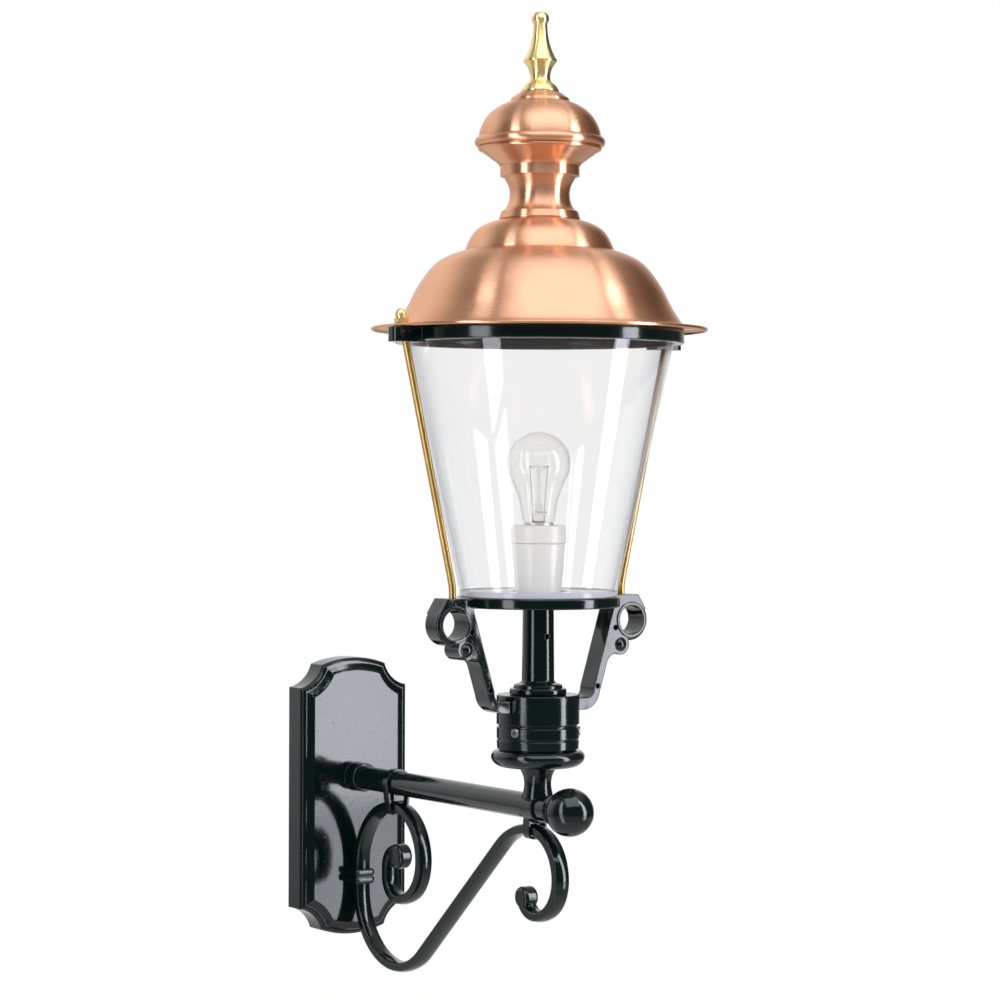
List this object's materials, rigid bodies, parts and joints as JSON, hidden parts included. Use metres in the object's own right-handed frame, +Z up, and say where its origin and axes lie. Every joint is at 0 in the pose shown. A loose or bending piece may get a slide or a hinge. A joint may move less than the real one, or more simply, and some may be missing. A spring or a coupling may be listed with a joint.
{
  "type": "wall lantern",
  "caption": "Classic outdoor wall lantern: round spun copper hood over a clear cone with a screw-in bulb, on a cast arm with a scroll bar and a stepped wall plate.",
  "frame": {"origin": "on the wall plane, midway between the two fixing holes, level with the arm's axis", "axes": "+Z up, +Y into the wall, so the arm runs along -Y, and +X to the right seen from the front"},
  "size_m": [0.315, 0.4946, 0.8977],
  "materials": {
    "casting_green": "gloss enamel, near-black green, on cast metal",
    "stainless": "turned stainless steel",
    "clear_cone": "clear moulded cone with a faint cool edge",
    "porcelain": "white glaze",
    "brass": "polished brass",
    "bulb_glass": "clear thin glass",
    "filament_wire": "drawn wire",
    "copper": "satin spun copper with fine turning lines"
  },
  "bodies": {
    "bracket": {"wall_plate": "casting_green", "arm_tube": "casting_green", "bracket_tee": "casting_green", "ball_knob": "casting_green", "scroll": "casting_green", "scroll_collar": "casting_green", "rear_strap": "casting_green", "strap_packer": "casting_green"},
    "head": {"socket_cup": "casting_green", "right_frog_arm": "casting_green", "left_frog_arm": "casting_green", "lamp_pipe": "casting_green", "gallery_ring": "casting_green", "top_ring": "casting_green", "set_screws": "stainless", "arm_screws": "stainless", "pipe_nut": "stainless", "hood_stud": "stainless", "hood_nut": "stainless", "glass_cone": "clear_cone", "lampholder_body": "porcelain", "lampholder_collar": "porcelain", "lampholder_shell": "brass", "bulb_cap": "brass", "right_tie_rod": "brass", "left_tie_rod": "brass", "cap_nuts": "brass", "finial": "brass", "bulb_glass": "bulb_glass", "bulb_stem": "bulb_glass", "filament": "filament_wire", "hood_dome": "copper", "hood_neck": "copper", "crown_bowl": "copper", "crown_lid": "copper"}
  },
  "joints": [
    {"name": "head_swivel", "type": "hinge", "parent": "bracket", "child": "head", "pos_m": [0, -0.343, 0.07], "axis": [0, 0, 1], "range_deg": [-170, 170]}
  ]
}
